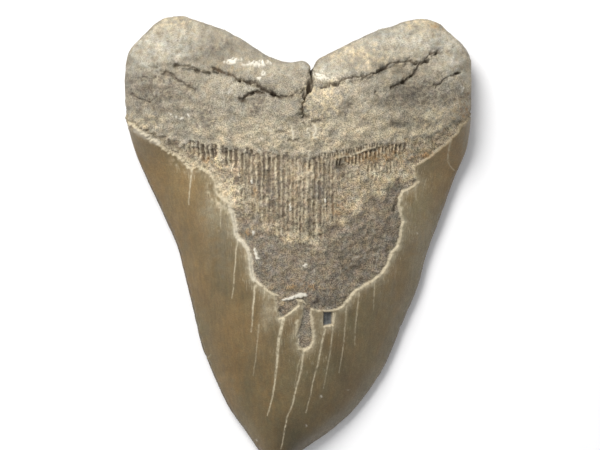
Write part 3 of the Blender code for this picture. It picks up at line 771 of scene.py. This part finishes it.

# Painted light and shade, with some brightness that differs at random: painted highlights on the crown's
# upper shoulders by the border, painted shade towards the tip, along the root's left edge, in the hollows
# by the cracks and along the wide crack of the right lobe.
TONE_AND_SHADING_SPOTS = [  # lighter, or darker below 0
    (-29, 13, 8, 12, 0.35), (-39, 22, 7, 7, 0.22), (41, 14, 5, 10, 0.42), (42, 0, 6, 16, 0.22),
    (50, 26, 4, 9, 0.2), (30, -16, 7, 8, 0.12), (27, -42, 3, 10, 0.15), (15.3, -40.8, 3, 8, -0.2),
    (-29, -18, 5, 12, -0.1), (-3, -68, 8, 9, -0.4), (6, -57, 8, 8, -0.15), (-14, -50, 9, 12, -0.1),
    (-54.5, 55, 4, 8.5, -0.32), (-36, 61.8, 5, 1.8, -0.15), (-45.2, 45.2, 4, 3.5, -0.25),
    (-28.2, 39.5, 3, 2.5, -0.18), (-9, 52.5, 5.5, 2.6, -0.35), (0, 48.4, 2.4, 2.2, -0.2),
    (-20.4, 49.7, 4, 2, -0.15), (-27.5, 64, 9, 4.5, -0.27), (26.9, 69.7, 9, 2, -0.2),
    (39, 49.5, 9, 6, -0.42), (34, 41, 10, 2.4, -0.35), (47.3, 65, 3, 3, -0.2), (33, 59.2, 8, 2, -0.3),
    (13.3, 54.4, 5, 1.6, 0.25), (18.7, 47.5, 8, 5.5, 0.28), (58.6, 55.4, 2.6, 4.5, 0.45),
    (52.7, 69, 3.5, 3.5, 0.2), (-39.1, 34, 3.5, 2, 0.35), (-20, 26, 4, 4, 0.15), (0.7, 21.5, 5, 5, 0.25),
    (28.9, 19, 3.5, 4, -0.25), (-6, 25, 12, 5, 0.1), (20, 14, 7, 7, 0.12), (-9, -2, 6, 5, 0.04),
    (46, 23, 4, 6, 0.14), (-36, 19, 5, 5, 0.12), (-38, 36.5, 9, 1.6, 0.15), (0, 31.5, 14, 1.8, 0.15),
    (33.7, 10.2, 1.4, 4, -0.12), (-47.5, 37, 5, 2, 0.25), (33, 24, 4, 4, 0.1), (14.3, -45, 5, 9, -0.1),
    (-18, -45, 5, 9, -0.08), (-3, 22, 13, 6, 0.24), (-24, -37, 5, 8, -0.07), (-5, -64, 5, 5, -0.1),
    (-45, 66, 9, 8, -0.05), (-39.3, 18.5, 4, 5, 0.06), (33, 15, 3, 3, 0.12), (28, -4, 2.5, 6, 0.1),
    (2.4, -31.5, 1.6, 5, 0.15), (-18.5, -4, 2.5, 6, 0.1), (4.8, 3.7, 4, 3, -0.36),
    (-17.3, 8.8, 1.8, 4, -0.2), (45, 24, 3, 4, 0.1), (22, 42, 8, 5, 0.06), (25, 27.5, 10, 3, -0.07),
    (-1, 3, 6, 5, -0.1), (28, 66, 12, 5, -0.05), (-12, 2, 4, 8, 0.06), (44, 68, 10, 3, 0.05),
    (-5, 22, 9, 6, 0.07), (17.7, -5, 4, 5, -0.25), (17.7, -9.9, 3.5, 2.4, -0.3),
    (8.5, -20.3, 6.5, 1.5, -0.5), (-2.7, -15.3, 5, 1.8, -0.2), (25.5, 6.8, 3, 3, 0.2),
    (-12.5, -6, 2, 6, -0.1),
]
tone_and_shading = spots(TONE_AND_SHADING_SPOTS)
tone_and_shading += 0.03 * broad + (0.02 + 0.05 * bare) * lumps + 0.05 * bare * patches
tone_and_shading += 0.07 * slot_zone * fibres
# Painted shade: darker along the valleys round the cracks and the cleft, and along the root's upper rim
# where its surface turns away from the light.
tone_and_shading -= 0.25 * unit(valleys)
tone_and_shading -= 0.22 * ramp(3, 0.5, depth_in) * ramp(42, 50, grid_y)
# Next to the border the enamel is paler: a painted sheen, stronger on the left, where also the enamel is
# thinner and pale dentine shows through.
thin_and_sheen = ramp(-5, 0.5, bare_depth) ** 2 * (1 - bare) * ramp(30, 14, grid_y)
thin_and_sheen *= 0.75 + 0.25 * ramp(0, -16, grid_x)
dab(thin_and_sheen, -10.8, -24, 1.8, 5, 0.8)
dab(thin_and_sheen, -30, 11, 3.5, 6, 0.25)
thin_and_sheen = unit(thin_and_sheen * (0.85 + 0.2 * patches)) * (1 - bare)
# Fine cream streaks hang from the border there and stand between the larger cracks.
hairs = (1 - bare) * ramp(-6, -0.5, bare_depth) * ramp(26, 20, np.abs(grid_y - 2))
dab(hairs, 4, -32, 13, 12, 0.7)
hairs = unit(hairs * (0.8 + 0.4 * lumps)) * (1 - bare)

GOLD_SPOTS = [
    (-22, -36, 5, 18, 1), (-39, 12, 5, 14, 0.6), (-32, -12, 4, 14, 0.7), (-10, -52, 6, 12, 0.6),
    (-48, 25, 5, 8, 0.9), (51.5, 30, 5, 9, 1),
]
gold = stain(GOLD_SPOTS, 0.12, streaks + patches) * (1 - bare)

border_width = 0.27 + 0.05 * np.clip(patches, -1, 2) + 0.21 * clean_left + 0.08 * feathered
border_band = np.exp(-((bare_depth - 0.1) / border_width) ** 2)
border_band *= 1 - 0.25 * ramp(14, 22, grid_y) - 0.12 * feathered
border_band *= 1 - 0.65 * ramp(32, 38, grid_x) * ramp(18, 24, grid_y)
border_band *= 1 - 0.5 * bump(grid_x, 8.5, 4.5) * bump(grid_y, -22.7, 1.2)
DROP_RIM = [
    (-0.2, -26.5), (-0.6, -31), (0.4, -34.8), (1.7, -36.6), (4.4, -35.2), (5.7, -33), (5.1, -28.6),
    (4.8, -25),
]
paint(border_band, DROP_RIM, 0.5, 0.45, 0.85, 0.2, 0.1, 0.1)
halo = np.exp(-((bare_depth + 0.3) / 0.7) ** 2) * (0.12 + 0.88 * feathered)
halo *= np.clip(0.34 + 0.14 * patches + 0.14 * fibres, 0, 0.7)
chalk = np.maximum(chalk, 0.4 * border_band * clean_left)
border_band = np.maximum(border_band, halo)
crumbs = dentine * bump(bare_depth, 1, 1.2) * crumbly
border_band *= np.clip(0.9 + 0.15 * pebbles, 0.4, 1)
cream = np.maximum(border_band, np.maximum(veins, 0.28 * glow) * (1 - bare))
cream = np.maximum(cream, crumbs * unit(0.35 + 0.25 * grain + 0.2 * pebbles))
cream = unit(np.maximum(cream, ridges))
# Painted shade: the dark colour that the cracks, the cleft, the slots, the holes and the pits get, where
# shade falls in them.
dark = np.maximum(np.maximum(cracks, ramp(0.1, 0.9, cleft)), np.maximum(slots, holes))
dark = unit(np.maximum(dark, 0.6 * pits * bare))


# ---- mesh ----
SPACINGS = (0.20, 0.30, 0.48, 0.9, 1.4)     # between vertices, mm
ROW_PITCH = 0.866               # this and the next two are shares of the spacing
JITTER = 0.12
INSET = 0.55
WALL_Y = 26                     # above it the rim's band gets smaller triangles
FRONT_SCALE = 5.55 / 1024       # of the UV map, per mm
BACK_SCALE = 2.95 / 1024
MAP_MARGIN = 0.006


def scatter(spacing, seed):
    """Places inside the tooth, about as far apart as the canvas of spacings says."""
    random = np.random.default_rng(SEED * 10 + seed)
    limits = [0, *((a + b) / 2 for a, b in zip(SPACINGS, SPACINGS[1:])), np.inf]
    found = []
    for step, low, high in zip(SPACINGS, limits, limits[1:]):
        x, y = np.meshgrid(np.arange(*CANVAS_X, step), np.arange(*CANVAS_Y, step * ROW_PITCH))
        x[1::2] += step / 2
        x = (x + random.uniform(-JITTER, JITTER, x.shape) * step).ravel()
        y = (y + random.uniform(-JITTER, JITTER, y.shape) * step).ravel()
        wanted = look_up(spacing, x, y)
        keep = (wanted >= low) & (wanted < high) & (look_up(depth_in, x, y) > INSET * step)
        found.append(np.column_stack([x[keep], y[keep]]))
    return np.vstack(found)


def triangles(outline, places):
    """Delaunay triangles over the outline and the places inside it."""
    count = len(outline)
    edges = [(i, (i + 1) % count) for i in range(count)]
    points = np.vstack([outline, places])
    made, _, faces, _, _, _ = delaunay_2d_cdt([Vector(p) for p in points.tolist()], edges, [],
                                              0, 1e-6, False)
    assert len(made) == len(points), "the triangulation merged or added points"
    faces = np.array(faces)
    # What fills the outline's hollows has all its corners on the outline.
    between = np.flatnonzero((faces < count).all(axis=1))
    x, y = points[faces[between]].mean(axis=1).T[:, :, None]
    (x1, y1), (x2, y2) = outline.T, np.roll(outline, -1, axis=0).T
    crosses = ((y1 > y) != (y2 > y)) & (x < x1 + (y - y1) / (y2 - y1 + 1e-12) * (x2 - x1))
    outside = between[crosses.sum(axis=1) % 2 == 0]
    return np.delete(faces, outside, axis=0)


front_spacing = np.where(bare > 0.5, SPACINGS[2], SPACINGS[3]).astype(np.float32)
front_spacing[(slots > 0.05) | (ridges > 0.05)] = SPACINGS[1]
front_spacing[(depth_in < 3) & (grid_y > WALL_Y)] = SPACINGS[1]
front_spacing[fine > 0.5] = SPACINGS[0]
back_spacing = blank(SPACINGS[4])
back_spacing[(depth_in < 3.5) & (grid_y > WALL_Y)] = SPACINGS[2]

INSIDE_TIP = [(-8.2, -77)]
front_places = np.vstack([scatter(front_spacing, 1), INSIDE_TIP])
back_places = scatter(back_spacing, 2)


def both_sides(outline):
    """The outline without the corners that both sides would cut off, and their triangles."""
    while True:
        sides = [triangles(outline, places) for places in (front_places, back_places)]
        cut_off = np.all([np.bincount(faces.ravel())[:len(outline)] == 1 for faces in sides],
                         axis=0)
        if not cut_off.any():
            return outline, *sides
        outline = outline[~cut_off]


outline, front_faces, back_faces = both_sides(outline)


def mesh_normals(places, faces):
    """Vertex normals, from the faces' areas."""
    a, b, c = (places[faces[:, i]] for i in range(3))
    across = np.cross(b - a, c - a)
    normals = np.zeros_like(places)
    for i in range(3):
        np.add.at(normals, faces[:, i], across)
    return normals / np.maximum(np.linalg.norm(normals, axis=1), 1e-12)[:, None]


def from_above(x, y, z):
    """Where a place of height z lies, when the camera sees it at x, y on the picture."""
    shrink = 1 - np.maximum(z - PLANE_Z, 0) / (CAMERA_Z - PLANE_Z)
    return np.column_stack([VIEW_CENTRE[0] + (x - VIEW_CENTRE[0]) * shrink,
                            VIEW_CENTRE[1] + (y - VIEW_CENTRE[1]) * shrink, z])


def facing(faces, places, up):
    """The faces, turned so that they look up, or down."""
    a, b, c = (places[faces[:, i], :2] for i in range(3))
    turn = np.cross(b - a, c - a) > 0
    return np.where((turn == up)[:, None], faces, faces[:, ::-1])


def tooth_mesh():
    """The closed mesh, with its relief, its masks and its UV map."""
    count = len(outline)
    layout = np.vstack([outline, front_places, back_places])
    x, y, distance = to_picture(*layout.T)
    top, under = upper_z(x, y, distance), lower_z(x, y, distance)
    rim = rim_height(x, y)
    z = np.concatenate([rim[:count], top[count:count + len(front_places)],
                        under[count + len(front_places):]])
    under_faces = np.where(back_faces < count, back_faces, back_faces + len(front_places))
    faces = np.vstack([facing(front_faces, layout, True), facing(under_faces, layout, False)])
    broad_shape = from_above(x, y, z)
    normals = mesh_normals(broad_shape, faces)

    front = np.zeros(len(layout), dtype=bool)
    front[:count + len(front_places)] = True
    lift = np.where(front, look_up(relief, *layout.T), look_up(back_relief, *layout.T))
    lift *= np.maximum(ramp(0.2, 3.5, top - under), ramp(30, 42, y))
    places = np.clip(broad_shape + normals * lift[:, None], *TOOTH_BOX)

    mesh = bpy.data.meshes.new("megalodon_tooth")
    mesh.from_pydata((places * MM).tolist(), [], faces.tolist())
    mesh.shade_smooth()
    for name, (upper, lower) in MASKS.items():
        values = np.where(front, look_up(upper, *layout.T), look_up(lower, *layout.T))
        attribute = mesh.attributes.new(name, "FLOAT", "POINT")
        attribute.data.foreach_set("value", values.astype(np.float32))
    add_uv_map(mesh, layout, faces, len(front_faces))
    mesh.validate()
    return mesh


def add_uv_map(mesh, layout, faces, front_count):
    """Front and back side by side on one map, the front drawn larger."""
    corners = layout[faces.reshape(-1)] - layout.min(axis=0)
    is_front = np.repeat(np.arange(len(faces)) < front_count, 3)
    uv = np.where(is_front[:, None], corners * FRONT_SCALE, corners * BACK_SCALE) + MAP_MARGIN
    uv[~is_front, 0] += np.ptp(layout[:, 0]) * FRONT_SCALE + MAP_MARGIN
    layer = mesh.uv_layers.new(name="OFBake")
    layer.data.foreach_set("uv", uv.astype(np.float32).ravel())


# ---- the lip side, which lies down ----
back_border = 30 + 12 * (np.abs(grid_x) / 57) ** 1.6
back_root = ramp(-0.4, 0.4, grid_y - back_border + 0.4 * pebbles + 0.4 * patches)
back_relief = back_root * (-0.35 + 0.22 * lumps + 0.08 * pebbles)
back_relief += (1 - back_root) * (0.03 * lumps + 0.01 * streaks) - 0.15 + 0.35 * near_rim
back_cream = 0.8 * np.exp(-((grid_y - back_border + 0.4 * pebbles) / 0.8) ** 2)
back_tan = unit(0.4 + 0.4 * broad) * back_root * ramp(-2, 9, depth_in + patches)
back_tone = back_root * (0.06 * lumps - 0.22 * ramp(7, 0.5, depth_in)) + 0.03 * broad
back_slate = unit(0.3 * patches) * back_root
# Painted reflection: a lighter greyish band along the right cutting edge, where the satin enamel reflects
# the bright room; the spots below are greenish enamel.
edge_reflection = ramp(5.5, 0.5, depth_in) * ramp(-5, 10, grid_x)
edge_reflection *= ramp(22, 0, grid_y) * ramp(-74, -58, grid_y)
OLIVE_SPOTS = [
    (-25.5, 1, 5, 14, 0.8), (42.5, 0, 5, 14, 0.6), (-30, 11, 3.5, 6, 0.6), (30, -18, 6, 8, 0.4),
]
olive_and_reflection = unit(edge_reflection + stain(OLIVE_SPOTS, 0.15, streaks + patches)) * (1 - bare)
UPPER = {                       # the masks that the material reads, on the upper face
    "bare": bare, "root": rooty, "pale": pale, "tan": tan, "slate_and_shade": slate_and_shade, "rust": rust, "dark": dark,
    "slot": slot_floor, "cream": cream, "chalk": chalk, "gold": gold, "tone_and_shading": tone_and_shading, "olive_and_reflection": olive_and_reflection,
    "thin_and_sheen": thin_and_sheen, "hairs": hairs, "calm": ramp(52, 62, grid_y),
}
LOWER = {"bare": back_root, "root": back_root, "tan": back_tan, "slate_and_shade": back_slate,
         "cream": back_cream, "tone_and_shading": back_tone}
MASKS = {name: (upper, LOWER.get(name, blank())) for name, upper in UPPER.items()}


# ---- material ----
def srgb(red, green, blue):
    """A colour on screen, 0 to 255, as the linear colour that Blender works in."""
    parts = np.array([red, green, blue]) / 255
    linear = np.where(parts <= 0.04045, parts / 12.92, ((parts + 0.055) / 1.055) ** 2.4)
    return (*linear.tolist(), 1)


class Nodes:
    """Adds nodes to a material, linking any input that is given as a socket."""

    def __init__(self, name):
        self.material = bpy.data.materials.new(name)
        self.material.use_nodes = True
        self.tree = self.material.node_tree
        self.shader = self.tree.nodes["Principled BSDF"]

    def put(self, node, inputs):
        for key, value in inputs.items():
            if isinstance(value, bpy.types.NodeSocket):
                self.tree.links.new(value, node.inputs[key])
            else:
                node.inputs[key].default_value = value

    def add(self, kind, inputs, **settings):
        node = self.tree.nodes.new(kind)
        for key, value in settings.items():
            setattr(node, key, value)
        self.put(node, inputs)
        return node

    def mask(self, name):
        return self.add("ShaderNodeAttribute", {}, attribute_name=name).outputs["Fac"]

    def mix(self, factor, one, two, blend="MIX"):
        node = self.add("ShaderNodeMix", {}, data_type="RGBA", blend_type=blend)
        self.put(node, {0: factor, 6: one, 7: two})
        return node.outputs[2]

    def blend(self, factor, one, two):
        """A number between two, by the factor."""
        return self.add("ShaderNodeMix", {0: factor, 2: one, 3: two}).outputs[0]

    def product(self, one, two):
        return self.add("ShaderNodeMath", {0: one, 1: two}, operation="MULTIPLY").outputs[0]

    def sum(self, one, two, weight):
        """one + two * weight"""
        return self.add("ShaderNodeMath", {0: two, 1: weight, 2: one},
                        operation="MULTIPLY_ADD").outputs[0]

    def steps(self, value, low, high, to_low=0, to_high=1):
        """value, stretched so that low and high land on to_low and to_high."""
        return self.add("ShaderNodeMapRange", {0: value, 1: low, 2: high, 3: to_low,
                                               4: to_high}).outputs[0]

    def around(self, value, spread):
        """Noise, stretched to lie around 1, up to the spread away from it."""
        return self.steps(value, 0.3, 0.7, 1 - spread, 1 + spread)

    def noise(self, size, stretch=1.0, detail=3.0, rough=0.6, shift=0.0, twist=0.0):
        """Noise with features of that size in mm, drawn out along Y by the stretch."""
        place = self.add("ShaderNodeTexCoord", {}).outputs["Object"]
        mapping = self.add("ShaderNodeMapping", {0: place, 1: (shift, shift, shift),
                                                 3: (1, 1 / stretch, 1)})
        made = self.add("ShaderNodeTexNoise", {
            "Vector": mapping.outputs[0], "Scale": 1 / (size * MM), "Detail": detail,
            "Roughness": rough, "Distortion": twist})
        return made.outputs["Fac"]


def tooth_material():
    """Satin enamel, dull dentine and stony root, with the masks' stains, painted highlights and painted
    shade over them.
    """
    n = Nodes("fossil_tooth")
    fine = n.noise(0.36, detail=1, rough=0.5)
    medium = n.noise(1, rough=0.65, shift=0.7, twist=0.8)
    coarse = n.noise(4, detail=4, shift=1.3, twist=0.5)
    wide = n.noise(18, shift=2.1)
    streak = n.noise(0.8, stretch=18, shift=3.7)
    soft_streak = n.noise(4, stretch=6, shift=5.1)
    hair = n.noise(0.5, stretch=40, detail=1, shift=4.9)
    warmth = n.noise(2.4, detail=5, shift=6.3)
    green = n.noise(2, detail=4, shift=8.1)
    speck = n.steps(fine, 0.3, 0.7, -0.5, 0.5)
    bare_mask, root_mask = n.mask("bare"), n.mask("root")

    enamel = n.mix(n.steps(wide, 0.35, 0.65), ENAMEL_BROWN, ENAMEL_OLIVE)
    enamel = n.mix(n.steps(soft_streak, 0.45, 0.7, 0, 0.5), enamel, ENAMEL_GOLD)
    enamel = n.mix(n.mask("gold"), enamel, ENAMEL_GOLD)
    # Greenish enamel patches, and the painted reflection along the right cutting edge.
    enamel = n.mix(n.mask("olive_and_reflection"), enamel, ENAMEL_EDGE)
    enamel = n.mix(n.steps(streak, 0.45, 0.75, 0, 0.5), enamel, ENAMEL_DARK)
    enamel = n.mix(n.steps(streak, 0.45, 0.25, 0, 0.35), enamel, ENAMEL_PALE)
    # Painted sheen by the border, with pale dentine under thinner enamel.
    thin_and_sheen = n.product(n.mask("thin_and_sheen"), n.steps(medium, 0.3, 0.7, 0.5, 0.8))
    enamel = n.mix(thin_and_sheen, enamel, ENAMEL_THIN_AND_SHEEN)
    hairs = n.product(n.mask("hairs"), n.steps(hair, 0.55, 0.75, 0, 0.5))
    enamel = n.mix(hairs, enamel, CREAM)
    dentine_colour = n.mix(n.steps(coarse, 0.4, 0.6), DENTINE, DENTINE_DARK)
    root_colour = n.mix(n.steps(coarse, 0.38, 0.62), ROOT_WARM, ROOT_GREY)

    colour = n.mix(bare_mask, enamel, dentine_colour)
    colour = n.mix(n.product(bare_mask, root_mask), colour, root_colour)
    for name, shade, break_up in STAINS:
        broken = n.sum(n.mask(name), n.product(bare_mask, speck), break_up)
        colour = n.mix(n.steps(broken, 0.1, 0.95), colour, shade)
    tint_amount = n.blend(bare_mask, 0.35, n.blend(root_mask, 1, 0.6))
    tint = n.mix(n.steps(warmth, 0.35, 0.65), COOL_TINT, WARM_TINT)
    colour = n.mix(tint_amount, colour, tint, blend="MULTIPLY")
    tint = n.mix(n.steps(green, 0.35, 0.65), MAUVE_TINT, GREEN_TINT)
    colour = n.mix(tint_amount, colour, tint, blend="MULTIPLY")

    root_speckles = n.blend(n.mask("calm"), n.around(fine, 0.5), n.around(fine, 0.28))
    speckles = n.blend(root_mask, n.around(fine, 0.64), root_speckles)
    clumps = n.blend(root_mask, n.around(medium, 0.28), n.around(medium, 0.13))
    # The brightness mask brings painted highlights and painted shade into the colour here.
    light = n.blend(n.blend(bare_mask, 0.24, 1), 1, n.product(speckles, clumps))
    light = n.product(light, n.sum(1, n.mask("tone_and_shading"), 1))
    grey = n.add("ShaderNodeCombineColor", {0: light, 1: light, 2: light}).outputs[0]
    colour = n.mix(1, colour, grey, blend="MULTIPLY")

    # Painted shade in the cracks, cleft, slots, holes and pits, browner under the rust stains.
    shadow = n.mix(n.mask("rust"), DARK, DARK_RUST)
    colour = n.mix(n.mask("dark"), colour, shadow)
    colour = n.mix(n.mask("slot"), colour, SLOT_GREY)
    flecked = n.product(n.mask("cream"), n.steps(medium, 0.3, 0.7, 0.6, 1.3))
    colour = n.mix(flecked, colour, CREAM)
    colour = n.mix(n.mask("chalk"), colour, CHALK)

    dull = n.blend(bare_mask, n.steps(streak, 0.3, 0.7, 0.36, 0.46), 0.85)
    dull = n.blend(n.mask("cream"), dull, 0.8)
    rough_bump = n.add("ShaderNodeBump", {"Strength": 0.7, "Distance": 0.12 * MM,
                                          "Height": n.blend(bare_mask, 0.5, fine)})
    streak_bump = n.add("ShaderNodeBump", {"Strength": 0.3, "Distance": 0.03 * MM,
                                           "Height": streak,
                                           "Normal": rough_bump.outputs[0]})
    n.put(n.shader, {"Base Color": colour, "Roughness": dull, "Specular IOR Level": 0.4,
                     "Normal": streak_bump.outputs[0]})
    return n.material


ENAMEL_BROWN = srgb(117, 98, 68)
ENAMEL_OLIVE = srgb(108, 98, 71)
ENAMEL_GOLD = srgb(124, 101, 65)
ENAMEL_EDGE = srgb(116, 106, 84)
ENAMEL_DARK = srgb(96, 83, 60)
ENAMEL_PALE = srgb(132, 117, 84)
ENAMEL_THIN_AND_SHEEN = srgb(172, 163, 139)
DENTINE = srgb(150, 137, 115)
DENTINE_DARK = srgb(128, 115, 96)
ROOT_WARM = srgb(164, 154, 134)
ROOT_GREY = srgb(152, 144, 127)
DARK = srgb(82, 70, 56)
DARK_RUST = srgb(98, 76, 50)
SLOT_GREY = srgb(96, 98, 97)
CREAM = srgb(204, 192, 164)
CHALK = srgb(226, 220, 204)
COOL_TINT = (0.93, 1, 1.09, 1)
WARM_TINT = (1.07, 1, 0.90, 1)
GREEN_TINT = (0.985, 1.02, 0.98, 1)
MAUVE_TINT = (1.015, 0.98, 1.03, 1)
STAINS = [("pale", srgb(178, 172, 156), 0.15), ("tan", srgb(185, 171, 143), 0.25),
          ("slate_and_shade", srgb(122, 113, 99), 0.25), ("rust", srgb(144, 119, 87), 0.25)]


def in_scene(thing):
    bpy.context.scene.collection.objects.link(thing)
    return thing


tooth = in_scene(bpy.data.objects.new("megalodon_tooth_visual", tooth_mesh()))
tooth.data.materials.append(tooth_material())
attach(tooth, "root")
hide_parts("tooth")


# ---- floor, light and camera ----
FLOOR_HALF = 2                  # this and the next three in metres
WINDOW_SIZE = 0.6
WINDOW_PLACE = (-0.36, 0.62, 0.8)
LIT_PLACE = (0, 0, 0.01)
WINDOW_WATTS = 12
SENSOR_MM = 36


def add_window_light():
    """One large soft light, high up behind the root and to the left."""
    data = bpy.data.lights.new("window", "AREA")
    data.shape = "DISK"
    data.size = WINDOW_SIZE
    data.energy = WINDOW_WATTS
    data.color = (1, 0.99, 0.97)
    window_light = in_scene(bpy.data.objects.new("window", data))
    window_light.location = WINDOW_PLACE
    towards = Vector(LIT_PLACE) - Vector(WINDOW_PLACE)
    window_light.rotation_euler = towards.to_track_quat("-Z", "Y").to_euler()


def add_floor():
    mesh = bpy.data.meshes.new("floor")
    corners = [(-1, -1), (1, -1), (1, 1), (-1, 1)]
    mesh.from_pydata([(x * FLOOR_HALF, y * FLOOR_HALF, 0) for x, y in corners], [], [(0, 1, 2, 3)])
    n = Nodes("pale_floor")
    mottled = n.mix(n.steps(n.noise(40), 0.3, 0.7), srgb(251, 251, 252), srgb(248, 248, 249))
    n.put(n.shader, {"Base Color": mottled, "Roughness": 0.7})
    mesh.materials.append(n.material)
    floor = in_scene(bpy.data.objects.new("floor", mesh))


add_floor()
add_window_light()
world = bpy.data.worlds.new("soft_room")
bpy.context.scene.world = world
world.use_nodes = True
background = world.node_tree.nodes["Background"]
background.inputs["Color"].default_value = (0.97, 0.98, 1, 1)
background.inputs["Strength"].default_value = 0.48
bpy.context.scene.view_settings.view_transform = "Standard"

lens = bpy.data.cameras.new("camera")
lens.sensor_width = SENSOR_MM
lens.lens = SENSOR_MM * (CAMERA_Z - PLANE_Z) * PX_PER_MM / FRAME_WIDTH_PX
camera = in_scene(bpy.data.objects.new("camera", lens))
camera.location = (VIEW_CENTRE[0] * MM, VIEW_CENTRE[1] * MM, CAMERA_Z * MM)
bpy.context.scene.camera = camera

bpy.context.view_layer.update()
